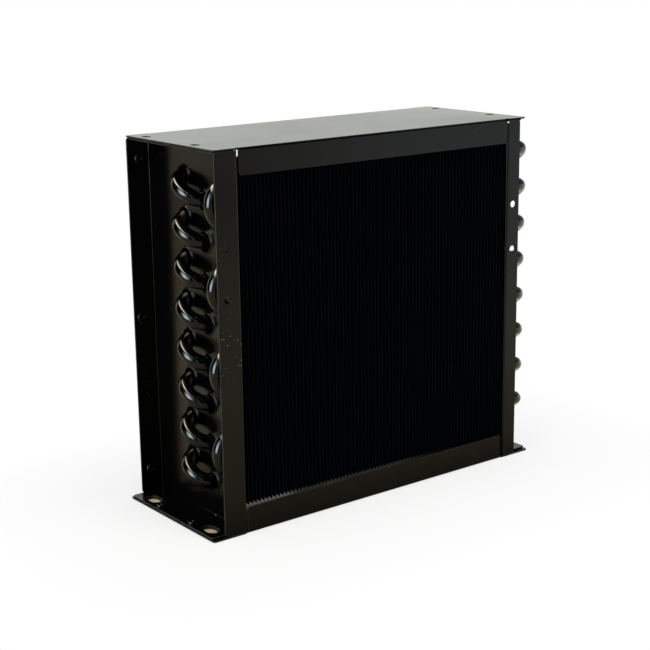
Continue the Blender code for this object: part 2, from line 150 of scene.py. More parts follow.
# Drawn collars
COLLAR_BORE = {-1: 11.9, 1: 10.12}
COLLAR_HEIGHT = 0.8
COLLAR_WALL = 0.65
COLLAR_FLARE = 0.4          # where the collar's outside runs out into the sheet
COLLAR_MOUTH = 0.5          # rounding of the bore on the fin side
COLLAR_INNER_RIM = 0.3
COLLAR_OUTER_RIM = 0.25
COLLAR_SIDES = 40

# Fins
FIN_COUNT = 75
FIN_PITCH = 2.822
FIN_THICKNESS = 0.2
FIN_RIPPLE = 0.5
FIN_RIPPLES = 6.0           # from the front edge to the rear edge
FIN_UNEVENNESS = 0.9
SLEEVE_INNER = 0.05         # faces of the fins' own collars, past the tube's radius
SLEEVE_OUTER = 0.25
SLEEVE_SIDES = 24

# Angles up to which shapes are shaded smooth, in degrees
SMOOTH_SHEET = 30.0
SMOOTH_ROUND = 40.0
SMOOTH_TUBE = 42.0

# Colours of the coats
CASING_BLACK = ((0.0003, 0.0004, 0.0007, 1.0), (0.0006, 0.0007, 0.0011, 1.0))
TUBE_BLACK = ((0.0004, 0.0005, 0.0006, 1.0), (0.0009, 0.0010, 0.0011, 1.0))
FIN_BLACK = ((0.0019, 0.0032, 0.0068, 1.0), (0.0024, 0.0038, 0.0078, 1.0))
FIN_BARE = (0.012, 0.012, 0.013, 1.0)
DUST = (0.3, 0.28, 0.24, 1.0)
# paler coat of cut edges: partly wear, partly painted highlight
WORN_AND_HIGHLIGHT = (0.13, 0.12, 0.105, 1.0)
WARM_TINT = (1.0, 0.96, 0.88, 1.0)

# Places in the casing's coat, in metres
FRONT_LEFT = -0.1535        # only the left front flange has a smaller sum of X and Y
DUSTY_HEIGHT = 0.116
MATT_HEIGHT = 0.003
MATT_HALF_LENGTH = 0.1055

# Camera, fitted to the photograph: degrees, millimetres, casing heights and pixels
CAMERA_AZIMUTH = -37.508
CAMERA_ELEVATION = 14.3378
CAMERA_ROLL = -0.7786
CAMERA_AIM = (-0.65, -0.15, 116.0)
CAMERA_DISTANCE = 4.0399
CAMERA_SHIFT = (0.027, 0.0567)
FOCAL_PIXELS = 1441.5135
PICTURE_PIXELS = 650.0
SENSOR_WIDTH = 36.0

# Studio, in metres
AIM = (0.0, 0.0, 0.12)
BASE_HALF = (0.131, 0.049)
BLACK = (0.0, 0.0, 0.0, 1.0)
WHITE = (1.0, 1.0, 1.0, 1.0)
FLOOR_PAPER = (0.9, 0.9, 0.9, 1.0)
BEIGE = (0.80, 0.65, 0.42, 1.0)
# floor colour in reflections by distance from the base; the dark colour at the base is a painted
# contact shadow
FLOOR_GLOW = ((0.0, (0.30, 0.26, 0.17)), (0.05, (0.74, 0.64, 0.44)), (0.17, (0.88, 0.77, 0.55)),
              (0.32, (1.0, 0.92, 0.68)), (0.6, (0.95, 0.9, 0.67)), (1.0, (0.92, 0.9, 0.85)))
FLOOR_SLANT = 0.77
FLOOR_BRIGHT = (1.3, 1.43, 1.65, 1.0)
FLOOR_REAR = (0.84, 0.75, 0.6, 1.0)
FLOOR_DIM = (0.5, 0.48, 0.44, 1.0)
GREY_GLOW = (0.95, 1.0, 0.86, 1.0)
SKY_GLOW = (0.8, 0.9, 1.0, 1.0)
ROOM_LIGHT = (0.55, 0.55, 0.55, 1.0)
ROOM_MIRRORED = (1.02, 1.05, 0.99, 1.0)
COOL = (0.74, 0.93, 1.0)
WARM = (1.0, 0.87, 0.66)
CARD_FADE = 1.3


def add_node(group, kind, links=(), **settings):
    """Add a node whose inputs are given as other nodes' outputs or as plain values."""
    made = group.nodes.new(kind)
    for key, value in settings.items():
        setattr(made, key, value)
    for socket, source in dict(links).items():
        target = made.inputs[socket]
        if isinstance(source, bpy.types.NodeSocket):
            group.links.new(source, target)
        else:
            target.default_value = source
    return made


# Geometry Nodes

class Tree:
    """A geometry tree with named inputs and an output."""

    def __init__(self, name, inputs):
        self.group = bpy.data.node_groups.new(name, "GeometryNodeTree")
        self.keys = {}
        sockets = self.group.interface
        for label, kind in inputs:
            socket = sockets.new_socket(label, in_out="INPUT", socket_type="NodeSocket" + kind)
            self.keys[label] = socket.identifier
        sockets.new_socket("Geometry", in_out="OUTPUT", socket_type="NodeSocketGeometry")
        self.start = self.group.nodes.new("NodeGroupInput")
        self.end = self.group.nodes.new("NodeGroupOutput")

    def node(self, kind, links=(), **settings):
        return add_node(self.group, kind, links, **settings)

    def given(self, label):
        return self.start.outputs[label]

    def maths(self, operation, first, second=0.0):
        made = self.node("ShaderNodeMath", {0: first, 1: second}, operation=operation)
        return made.outputs[0]

    def times(self, first, second):
        return self.maths("MULTIPLY", first, second)

    def vector(self, x=0.0, y=0.0, z=0.0):
        return self.node("ShaderNodeCombineXYZ", {0: x, 1: y, 2: z}).outputs[0]

    def moved(self, geometry, offset):
        """Every point of the geometry moved by its own offset."""
        return self.node("GeometryNodeSetPosition",
                         {"Geometry": geometry, "Offset": offset}).outputs[0]

    def copies(self, points, shape):
        """The shape at each point."""
        return self.node("GeometryNodeInstanceOnPoints",
                         {"Points": points, "Instance": shape}).outputs[0]

    def given_shape(self):
        made = self.node("GeometryNodeObjectInfo",
                         {"Object": self.given("Shape"), "As Instance": True})
        return made.outputs["Geometry"]

    def close(self, geometry):
        """Turn the instances into a mesh, with the material that the tree is given."""
        real = self.node("GeometryNodeRealizeInstances", {0: geometry})
        coated = self.node("GeometryNodeSetMaterial", {"Geometry": real.outputs[0],
                                                       "Material": self.given("Material")})
        self.group.links.new(coated.outputs[0], self.end.inputs[0])

    def grow(self, name, values):
        """Evaluate the tree with these values and keep the result as a plain mesh."""
        holder = bpy.data.objects.new(name, bpy.data.meshes.new(name + "_seed"))
        bpy.context.scene.collection.objects.link(holder)
        modifier = holder.modifiers.new("tree", "NODES")
        modifier.node_group = self.group
        for label, value in values.items():
            modifier[self.keys[label]] = value
        graph = bpy.context.evaluated_depsgraph_get()
        mesh = bpy.data.meshes.new_from_object(holder.evaluated_get(graph), depsgraph=graph)
        mesh.name = name
        holder.modifiers.remove(modifier)
        holder.data = mesh
        return holder


def fin_stack_tree():
    """Rippled fins side by side, with slightly uneven front and rear edges."""
    tree = Tree("fin stack", [("Fins", "Int"), ("Pitch", "Float"), ("Thickness", "Float"),
                              ("Depth", "Float"), ("Height", "Float"), ("Ripple", "Float"),
                              ("Ripples", "Float"), ("Unevenness", "Float"),
                              ("First Fin", "Vector"), ("Material", "Material")])
    depth = tree.given("Depth")
    size = tree.vector(tree.given("Thickness"), depth, tree.given("Height"))
    fin = tree.node("GeometryNodeMeshCube",
                    {"Size": size, "Vertices X": 2, "Vertices Y": 19, "Vertices Z": 15})
    place = tree.node("GeometryNodeInputPosition").outputs[0]
    y = tree.node("ShaderNodeSeparateXYZ", {0: place}).outputs[1]
    share = tree.maths("DIVIDE", y, depth)
    turns = tree.times(share, tree.given("Ripples"))
    wave = tree.maths("SINE", tree.times(turns, 2 * math.pi))
    edge = tree.times(tree.maths("ABSOLUTE", share), 2.0)
    calm = tree.maths("SUBTRACT", 1.0, tree.maths("POWER", edge, 12.0))
    ripple = tree.times(tree.times(wave, calm), tree.given("Ripple"))
    rippled = tree.moved(fin.outputs["Mesh"], tree.vector(ripple))
    line = tree.node("GeometryNodeMeshLine", {
        "Count": tree.given("Fins"), "Start Location": tree.given("First Fin"),
        "Offset": tree.vector(tree.given("Pitch"))})
    stack = tree.copies(line.outputs[0], rippled)
    real = tree.node("GeometryNodeRealizeInstances", {0: stack})
    noise = tree.node("ShaderNodeTexNoise", {"Vector": place, "Scale": 90.0, "Detail": 1.0})
    centred = tree.maths("SUBTRACT", noise.outputs[0], 0.5)
    first = tree.node("ShaderNodeSeparateXYZ", {0: tree.given("First Fin")})
    from_middle = tree.maths("SUBTRACT", y, first.outputs[1])
    outer = tree.times(tree.maths("ABSOLUTE", tree.maths("DIVIDE", from_middle, depth)), 2.0)
    at_edges = tree.times(centred, tree.maths("POWER", outer, 14.0))
    bend = tree.times(at_edges, tree.given("Unevenness"))
    tree.close(tree.moved(real.outputs[0], tree.vector(bend)))
    return tree


def every_tube_tree():
    """One shape at each tube of the staggered pattern."""
    tree = Tree("every tube", [("Shape", "Object"), ("Tubes", "Int"), ("Per Row", "Int"),
                               ("Tube Pitch", "Float"), ("Row Pitch", "Float"),
                               ("First Tube", "Vector"), ("Material", "Material")])
    points = tree.node("GeometryNodeMeshLine",
                       {"Count": tree.given("Tubes"), "Offset": (0.0, 0.0, 0.0)})
    number = tree.node("GeometryNodeInputIndex").outputs[0]
    row = tree.maths("FLOOR", tree.maths("DIVIDE", number, tree.given("Per Row")))
    along = tree.maths("SUBTRACT", number, tree.times(row, tree.given("Per Row")))
    lower = tree.times(tree.maths("MODULO", row, 2.0), 0.5)
    drop = tree.times(tree.maths("ADD", along, lower), tree.given("Tube Pitch"))
    offset = tree.vector(0.0, tree.times(row, tree.given("Row Pitch")), tree.times(drop, -1.0))
    place = tree.node("ShaderNodeVectorMath", {0: offset, 1: tree.given("First Tube")},
                      operation="ADD")
    spread = tree.node("GeometryNodeSetPosition",
                       {"Geometry": points.outputs[0], "Position": place.outputs[0]})
    tree.close(tree.copies(spread.outputs[0], tree.given_shape()))
    return tree


def repeat_tree():
    """One shape several times, each a step further on."""
    tree = Tree("repeat", [("Shape", "Object"), ("Count", "Int"), ("Step", "Vector"),
                           ("Material", "Material")])
    line = tree.node("GeometryNodeMeshLine",
                     {"Count": tree.given("Count"), "Offset": tree.given("Step")})
    tree.close(tree.copies(line.outputs[0], tree.given_shape()))
    return tree


# Materials

class Coat:
    """A Principled material with a few helpers for its nodes."""

    def __init__(self, name, **values):
        self.material = bpy.data.materials.new(name)
        self.material.use_nodes = True
        self.tree = self.material.node_tree
        self.shader = self.tree.nodes["Principled BSDF"]
        for socket, value in values.items():
            self.shader.inputs[socket.replace("_", " ")].default_value = value
        self.place = self.node("ShaderNodeTexCoord").outputs["Object"]

    def node(self, kind, links=(), **settings):
        return add_node(self.tree, kind, links, **settings)

    def axes(self):
        """X, Y and Z of the place on the piece."""
        return self.node("ShaderNodeSeparateXYZ", {0: self.place}).outputs

    def noise(self, scale, detail=2.0, roughness=0.5, stretch=None):
        """Noise over the piece; the scale is in waves per metre."""
        place = self.place
        if stretch:
            stretched = self.node("ShaderNodeMapping", {"Vector": place, "Scale": stretch})
            place = stretched.outputs[0]
        return self.node("ShaderNodeTexNoise", {"Vector": place, "Scale": scale, "Detail": detail,
                                                "Roughness": roughness}).outputs[0]

    def ramp(self, value, low, high, bottom=0.0, top=1.0):
        return self.node("ShaderNodeMapRange", {"Value": value, "From Min": low, "From Max": high,
                                                "To Min": bottom, "To Max": top}).outputs[0]

    def band(self, value, stops):
        """Colour that changes along a value from 0 to 1; stops are (place, colour)."""
        made = self.node("ShaderNodeValToRGB", {0: value})
        elements = made.color_ramp.elements
        while len(elements) < len(stops):
            elements.new(0.5)
        for element, (place, colour) in zip(elements, stops):
            element.position = place
            element.color = (*colour, 1.0)
        return made.outputs[0]

    def maths(self, operation, first, second=0.0):
        made = self.node("ShaderNodeMath", {0: first, 1: second}, operation=operation)
        return made.outputs[0]

    def times(self, first, second):
        return self.maths("MULTIPLY", first, second)

    def mix(self, factor, first, second, **settings):
        made = self.node("ShaderNodeMix", {0: factor, 6: first, 7: second}, data_type="RGBA",
                         **settings)
        return made.outputs[2]

    def glow(self, colour, strength=1.0):
        """A shader that gives off this colour whatever falls on it."""
        made = self.node("ShaderNodeEmission", {"Color": colour, "Strength": strength})
        return made.outputs[0]

    def set(self, socket, value):
        self.tree.links.new(value, self.shader.inputs[socket])

    def use(self, shader):
        """Show this shader in place of the Principled one alone."""
        self.tree.links.new(shader, self.tree.nodes["Material Output"].inputs["Surface"])

    def bumps(self, *layers):
        """Bump layers as (height, strength, distance in metres)."""
        last = None
        for height, strength, distance in layers:
            made = self.node("ShaderNodeBump", {"Height": height, "Strength": strength,
                                                "Distance": distance})
            if last:
                self.tree.links.new(last, made.inputs["Normal"])
            last = made.outputs[0]
        self.set("Normal", last)

    def cells(self, scale):
        return self.node("ShaderNodeTexVoronoi", {"Vector": self.place, "Scale": scale,
                                                  "Randomness": 1.0}).outputs

    def specks(self, scale, size, patch_scale, patch_low, patch_high):
        """Scattered dots inside soft patches."""
        dots = self.ramp(self.cells(scale)["Distance"], size, size * 0.6)
        patch = self.ramp(self.noise(patch_scale, 1.0), patch_low, patch_high)
        return self.times(dots, patch)

    def grains(self, scale, size, share):
        """Scattered grains of uneven size, in this share of the cells."""
        cells = self.cells(scale)
        chance = self.node("ShaderNodeSeparateColor", {0: cells["Color"]}).outputs
        radius = self.times(chance[1], size)
        dots = self.maths("LESS_THAN", cells["Distance"], radius)
        return self.times(dots, self.maths("LESS_THAN", chance[0], share))


def casing_coat():
    """Gloss black coat on steel sheet: faint orange peel, soft smears, dust, and paler cut edges
    that are partly wear and partly a painted highlight.
    """
    coat = Coat("casing_gloss_black", IOR=1.5, Specular_IOR_Level=0.2, Specular_Tint=WARM_TINT)
    x, y, z = coat.axes()
    body = coat.mix(coat.ramp(coat.noise(9.0, 3.0), 0.3, 0.7), *CASING_BLACK)

    # dust in a few patches, and in a short band of the left front flange
    patches = coat.specks(scale=620.0, size=0.13, patch_scale=34.0, patch_low=0.6, patch_high=0.74)
    on_flange = coat.maths("LESS_THAN", coat.maths("ADD", x, y), FRONT_LEFT)
    from_band = coat.maths("ABSOLUTE", coat.maths("SUBTRACT", z, DUSTY_HEIGHT))
    band = coat.times(on_flange, coat.ramp(from_band, 0.02, 0.012))
    grains = coat.times(coat.grains(scale=520.0, size=0.2, share=0.36), band)
    dust = coat.maths("MAXIMUM", patches, grains)
    dusty = coat.mix(coat.times(dust, 0.5), body, DUST)

    edge = coat.node("ShaderNodeAttribute", attribute_name="edge").outputs["Fac"]
    # cut edges are paler: partly wear, partly painted highlight lines
    worn_and_highlight = coat.times(edge, coat.ramp(coat.noise(70.0, 3.0), 0.35, 0.7, 0.15, 0.8))
    coat.set("Base Color", coat.mix(worn_and_highlight, dusty, WORN_AND_HIGHLIGHT))

    streaks = coat.noise(5.0, 4.0, roughness=0.6, stretch=(1.0, 1.0, 0.35))
    smear = coat.ramp(streaks, 0.35, 0.7, 0.17, 0.26)
    sheared = coat.times(coat.maths("GREATER_THAN", edge, 0.001), 0.7)
    rough = coat.maths("ADD", coat.maths("MAXIMUM", smear, sheared), coat.times(dust, 0.4))

    # the inside of the base plate, under the fins, is matt
    within = coat.maths("LESS_THAN", coat.maths("ABSOLUTE", x), MATT_HALF_LENGTH)
    under = coat.times(coat.maths("LESS_THAN", z, MATT_HEIGHT), within)
    matt = coat.times(under, coat.ramp(x, -0.054, -0.04, 0.1, 0.5))
    coat.set("Roughness", coat.maths("MAXIMUM", rough, matt))

    coat.bumps((coat.noise(14.0, 1.0), 0.25, 0.0008), (coat.noise(900.0, 1.0), 0.05, 0.00006))
    return coat.material


def tube_coat():
    """Gloss black coat on copper tube, a little uneven where it ran."""
    coat = Coat("tube_gloss_black", IOR=1.5, Specular_IOR_Level=0.22)
    tone = coat.ramp(coat.noise(40.0, 2.0), 0.3, 0.7)
    coat.set("Base Color", coat.mix(tone, *TUBE_BLACK))
    coat.set("Roughness", coat.ramp(coat.noise(60.0, 3.0), 0.3, 0.75, 0.08, 0.18))
    coat.bumps((coat.noise(120.0, 1.0), 0.12, 0.0005), (coat.noise(1100.0, 1.0), 0.05, 0.00005))
    return coat.material


def fin_coat():
    """Thin matt black coat on aluminium fins, with a little bare metal."""
    coat = Coat("fin_matt_black", IOR=1.5, Specular_IOR_Level=0.04)
    tone = coat.ramp(coat.noise(45.0, 2.0), 0.3, 0.7)
    bare = coat.times(coat.ramp(coat.noise(240.0, 2.0), 0.68, 0.74), 0.2)
    coat.set("Base Color", coat.mix(bare, coat.mix(tone, *FIN_BLACK), FIN_BARE))
    coat.set("Roughness", coat.ramp(tone, 0.0, 1.0, 0.42, 0.6))
    return coat.material


CASING = casing_coat()
TUBES = tube_coat()
FINS = fin_coat()


# Meshes

def finished(name, bm, material, angle=SMOOTH_SHEET):
    """A mesh object in metres, shaded smooth up to an angle."""
    bmesh.ops.scale(bm, vec=(MM, MM, MM), verts=bm.verts)
    mesh = bpy.data.meshes.new(name)
    bm.to_mesh(mesh)
    bm.free()
    item = bpy.data.objects.new(name, mesh)
    bpy.context.scene.collection.objects.link(item)
    mesh.materials.append(material)
    smooth(item, angle)
    return item


def smooth(item, angle):
    item.data.shade_smooth()
    item.data.set_sharp_from_angle(angle=math.radians(angle))


def even_shading(item):
    """Let the large flat faces keep their own direction beside the folds."""
    modifier = item.modifiers.new("even", "WEIGHTED_NORMAL")
    modifier.keep_sharp = True
    graph = bpy.context.evaluated_depsgraph_get()
    mesh = bpy.data.meshes.new_from_object(item.evaluated_get(graph), depsgraph=graph)
    item.modifiers.remove(modifier)
    item.data = mesh


def adopt(piece, slot, *nodes):
    """Ride on the one body and stand for these solids."""
    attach(piece, "root")
    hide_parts(*nodes)


def put(item, turn, place):
    """Turn the mesh itself, and move it to a place in millimetres."""
    item.data.transform(turn)
    item.data.transform(Matrix.Translation(Vector(place) * MM))
    return item


def arc(centre, radius, start, end, steps):
    """Points on an arc, from start to end in degrees."""
    angles = [math.radians(start + (end - start) * step / steps) for step in range(steps + 1)]
    return [(centre[0] + radius * math.cos(angle), centre[1] + radius * math.sin(angle))
            for angle in angles]


def round_hole(x, y, diameter, sides=HOLE_SIDES):
    """Clockwise, so that the sheet lies to its left."""
    return arc((x, y), diameter / 2, 360.0, 0.0, sides)[:-1]


def slot_hole(x, y, width, length):
    radius = width / 2
    straight = length / 2 - radius
    return (arc((x, y + straight), radius, 180.0, 0.0, SLOT_STEPS)
            + arc((x, y - straight), radius, 0.0, -180.0, SLOT_STEPS))


def inset(loop, distance):
    """Move a loop to its left by a distance."""
    moved = []
    for before, here, after in zip(loop[-1:] + loop[:-1], loop, loop[1:] + loop[:1]):
        into = (Vector(here) - Vector(before)).normalized()
        out = (Vector(after) - Vector(here)).normalized()
        left_in = Vector((-into.y, into.x))
        left_out = Vector((-out.y, out.x))
        step = (left_in + left_out) * (distance / (1 + left_in.dot(left_out)))
        moved.append(tuple(Vector(here) + step))
    return moved


def blank(outline, holes, thickness, cut_wear_and_highlight):
    """Flat sheet with fine chamfers; each hole comes with its own chamfer."""
    bm = bmesh.new()
    mark = bm.faces.layers.float.new("edge")
    half = thickness / 2
    bottoms, tops = [], []
    for loop, chamfer in [(outline, EDGE_CHAMFER)] + holes:
        # cut edges are marked for a paler coat: partly wear, partly a painted highlight
        wear_and_highlight = cut_wear_and_highlight if loop is outline else min(cut_wear_and_highlight, HOLE_WEAR_AND_HIGHLIGHT)
        inner = inset(loop, chamfer) if chamfer else loop
        levels = [(inner, -half), (loop, chamfer - half), (loop, half - chamfer), (inner, half)]
        if not chamfer:
            levels = [levels[0], levels[3]]
        rings = [[bm.verts.new((x, y, z)) for x, y in points] for points, z in levels]
        bottoms.append(rings[0])
        tops.append(rings[-1])
        for level, (low, high) in enumerate(zip(rings, rings[1:])):
            for index in range(len(low)):
                after = (index + 1) % len(low)
                wall = bm.faces.new((low[index], low[after], high[after], high[index]))
                wall[mark] = wear_and_highlight * (WALL_WEAR_AND_HIGHLIGHT if level == 1 else 1.0)
    for rings in (bottoms, tops):
        flat = [vert for ring in rings for vert in ring]
        for face in tessellate_polygon([[vert.co for vert in ring] for ring in rings]):
            corners = [flat[index] for index in face]
            if len(set(corners)) == 3 and not bm.faces.get(corners):
                bm.faces.new(corners)
    bmesh.ops.recalc_face_normals(bm, faces=bm.faces)
    return bm


def cut(bm, axis, value):
    normal = Vector((0, 0, 0))
    normal[axis] = 1.0
    bmesh.ops.bisect_plane(bm, geom=bm.verts[:] + bm.edges[:] + bm.faces[:], dist=1e-5,
                           plane_co=normal * value, plane_no=normal)


def fold_length(radius):
    """Sheet that a right-angled fold takes up, on the middle of its thickness."""
    return radius * math.pi / 2


def fold(bm, axis, start, radius, turn, reach=None):
    """Fold both ends of the blank along an axis, to +Z or -Z, where the other axis is in reach."""
    length = fold_length(radius)
    for way in (-1, 1):
        for step in range(FOLD_STEPS + 1):
            cut(bm, axis, way * (start + length * step / FOLD_STEPS))
    for vert in bm.verts:
        past = abs(vert.co[axis]) - start
        if past <= 1e-4 or (reach and not reach[0] < vert.co[1 - axis] < reach[1]):
            continue
        way = math.copysign(1.0, vert.co[axis])
        angle = min(past / radius, math.pi / 2)
        beyond = max(past - length, 0.0)
        off = vert.co.z * turn
        vert.co[axis] = way * (start + (radius - off) * math.sin(angle))
        vert.co.z = turn * (radius - (radius - off) * math.cos(angle) + beyond)


def rounded(points):
    """Round the outer corners of an outline."""
    loop = []
    for index, corner in enumerate(points):
        here = Vector(corner)
        if index not in OUTER_CORNERS:
            loop.append(tuple(here))
            continue
        back = (Vector(points[index - 1]) - here).normalized()
        on = (Vector(points[(index + 1) % len(points)]) - here).normalized()
        middle = here + (back + on) * CORNER
        for step in range(CORNER_STEPS + 1):
            angle = math.pi / 2 * step / CORNER_STEPS
            loop.append(tuple(middle - (on * math.cos(angle) + back * math.sin(angle)) * CORNER))
    return loop


def turned(name, profile, side, sides, material):
    """Turn a closed profile of (radius, place along X) about the X axis."""
    bm = bmesh.new()
    rings = []
    for step in range(sides):
        angle = 2 * math.pi * step / sides
        rings.append([bm.verts.new((side * x, radius * math.cos(angle), radius * math.sin(angle)))
                      for radius, x in profile])
    for ring, after in zip(rings, rings[1:] + rings[:1]):
        for index in range(len(profile)):
            other = (index + 1) % len(profile)
            bm.faces.new((ring[index], ring[other], after[other], after[index]))
    bmesh.ops.recalc_face_normals(bm, faces=bm.faces)
    return finished(name, bm, material, SMOOTH_ROUND)


# Casing

def tube_place(row, index):
    """Y and height of a tube; rows count from the front, tubes from the top."""
    return FIRST_ROW_Y + row * ROW_PITCH, TOP_TUBE_Z - (index + row % 2 / 2) * TUBE_PITCH


def at_every_tube(name, shape, x, material):
    """Put a shape round each tube, from this X in metres."""
    grown = every_tube_tree().grow(name, {
        "Shape": shape, "Tubes": ROWS * PER_ROW, "Per Row": PER_ROW,
        "Tube Pitch": TUBE_PITCH * MM, "Row Pitch": ROW_PITCH * MM,
        "First Tube": (x, FIRST_ROW_Y * MM, TOP_TUBE_Z * MM), "Material": material})
    smooth(grown, SMOOTH_ROUND)
    bpy.data.objects.remove(shape)
    return grown


def end_plate(name, side):
    """Tube sheet with four flanges folded from a flat blank, laid out as Y and height."""
    radius = INNER_FOLD + SHEET / 2
    length = fold_length(radius)
    low = BASE_SHEET + SEAT_GAP
    high = HEIGHT - SHEET - SEAT_GAP
    middle = (low + high) / 2
    tall = (high - low) / 2
    fold_u = DEPTH / 2 - SHEET / 2 - radius
    fold_v = tall - SHEET / 2 - radius
    root = fold_u + length
    past_fold = SHEET / 2 + radius
    wing = root + FLANGE[side] - past_fold
    notch_u = fold_u - SIDE_NOTCH
    notch_v = fold_v - LEVEL_NOTCH
    flange_end = SIDE_NOTCH - fold_u if side < 0 else -root - SLIT

    def half_outline(tab):
        return [(wing, tall), (notch_u, tall), (notch_u, notch_v), (fold_u - SLIT, notch_v),
                (fold_u - SLIT, tab), (RELIEF - fold_u, tab), (RELIEF - fold_u, notch_v),
                (flange_end, notch_v), (flange_end, tall), (-wing, tall)]

    upper = half_outline(fold_v + length + TOP_FLANGE - past_fold)
    lower = half_outline(fold_v + length + FOOT - FOOT_REVEAL - past_fold)
    outline = rounded(upper + [(x, -y) for x, y in lower[::-1]])
    bore = COLLAR_BORE[side] + 2 * COLLAR_WALL + 2 * COLLAR_FLARE
    holes = []
    for row in range(ROWS):
        for index in range(PER_ROW):
            y, z = tube_place(row, index)
            holes.append((round_hole(y, z - middle, bore, COLLAR_SIDES), 0.0))
    hole_u = root + FRONT_HOLE_INSET[side] - past_fold
    holes += [(round_hole(-hole_u, z - middle, FRONT_HOLE), EDGE_CHAMFER)
              for z in FRONT_HOLE_HEIGHTS]
    from_edge = fold_v + length - past_fold
    hole_v = from_edge + TOP_OVERHANG - TOP_HOLE_INSET
    holes += [(round_hole(y, hole_v, TOP_HOLE), EDGE_CHAMFER) for y in TOP_HOLE_Y]
    slot_v = from_edge + FOOT - SLOT_INSET
    for slot_y in SLOT_Y:
        upright = slot_hole(-slot_v, slot_y, SLOT_WIDTH, SLOT_LENGTH)
        holes.append(([(y, v) for v, y in upright][::-1], EDGE_CHAMFER))
    bm = blank(outline, holes, SHEET, CUT_WEAR_AND_HIGHLIGHT)
    fold(bm, 0, fold_u, radius, 1)
    fold(bm, 1, fold_v, radius, 1,
         reach=(RELIEF - fold_u - LEVEL_REACH[0], fold_u - LEVEL_REACH[1]))
    web = side * (INNER_WIDTH + SHEET) / 2
    for vert in bm.verts:
        u, v, w = vert.co
        vert.co = (web + side * w, u, middle + v)
    bmesh.ops.recalc_face_normals(bm, faces=bm.faces)
    plate = finished(name, bm, CASING)
    even_shading(plate)
    return plate


def collar_ring(side):
    """Drawn collar round one tube, as a closed ring about X at the origin."""
    bore = COLLAR_BORE[side] / 2
    wall = bore + COLLAR_WALL
    outer = wall + COLLAR_FLARE
    half = SHEET / 2
    rim = half + COLLAR_HEIGHT
    profile = [(outer, half), (outer, -half)]
    profile += arc((bore + COLLAR_MOUTH, COLLAR_MOUTH - half), COLLAR_MOUTH, 270.0, 180.0, 5)
    profile += arc((bore + COLLAR_INNER_RIM, rim - COLLAR_INNER_RIM), COLLAR_INNER_RIM,
                   180.0, 90.0, 4)
    profile += arc((wall - COLLAR_OUTER_RIM, rim - COLLAR_OUTER_RIM), COLLAR_OUTER_RIM,
                   90.0, 0.0, 4)
    profile += arc((outer, half + COLLAR_FLARE), COLLAR_FLARE, 180.0, 270.0, 4)[:-1]
    return turned("collar", profile, side, COLLAR_SIDES, CASING)


def lipped_plate(name, half_length, thickness, level, turn, lip_ends, lip_reach, holes, wear_and_highlight):
    """Top or base plate, folded from a flat blank; turn is 1 for lips that stand up."""
    radius = INNER_FOLD + thickness / 2
    fold_v = DEPTH / 2 - thickness / 2 - radius
    edge_v = fold_v + fold_length(radius) + lip_reach - thickness / 2 - radius
    notch = fold_v - LIP_NOTCH
    edge = DEPTH / 2
    left, right = lip_ends
    upper = [(half_length, edge), (right + RELIEF, edge), (right + RELIEF, notch), (right, notch),
             (right, edge_v), (left, edge_v), (left, notch), (left - RELIEF, notch),
             (left - RELIEF, edge), (-half_length, edge)]
    bm = blank(rounded(upper + [(x, -y) for x, y in upper[::-1]]), holes, thickness, wear_and_highlight)
    fold(bm, 1, fold_v, radius, turn, reach=(left - RELIEF / 2, right + RELIEF / 2))
    for vert in bm.verts:
        vert.co.z += level
    bmesh.ops.recalc_face_normals(bm, faces=bm.faces)
    plate = finished(name, bm, CASING)
    even_shading(plate)
    adopt(plate, "casing_coat", name.replace("_folded", ""))


def button(name, diameter, turn, place):
    """Domed point with a small dimple; it is turned from +X towards its own side."""
    radius = diameter / 2
    profile = [(AXIS_GAP, -BUTTON_SUNK), (radius, -BUTTON_SUNK)]
    profile += arc((radius - BUTTON_SHOULDER, BUTTON_HEIGHT - BUTTON_SHOULDER), BUTTON_SHOULDER,
                   0.0, 90.0, 7)
    profile += [(radius * share, BUTTON_HEIGHT * rise) for share, rise in BUTTON_DIMPLE]
    return put(turned(name, profile, 1, 32, CASING), turn, place)


def tack_bead(name, place):
    """Small round bead where the left foot meets the tube sheet."""
    profile = [(AXIS_GAP, -TACK_BEAD_SUNK), (TACK_BEAD, -TACK_BEAD_SUNK)]
    profile += arc((0.0, 0.0), TACK_BEAD, 0.0, 89.0, 6)
    slope = Matrix.Rotation(-math.pi / 4, 4, "Y") @ Matrix.Rotation(math.pi, 4, "Z")
    return put(turned(name, profile, 1, 20, CASING), slope, place)


def plug(name, place):
    """Round plug just under the face of the front flange."""
    radius = FRONT_HOLE / 2 - PLUG_GAP
    profile = [(AXIS_GAP, PLUG_RIM[0][1])]
    profile += [(radius - inwards, depth) for inwards, depth in PLUG_RIM]
    profile += [(AXIS_GAP, PLUG_RIM[-1][1])]
    return put(turned(name, profile, 1, 32, CASING), Matrix.Rotation(math.pi / 2, 4, "Z"), place)


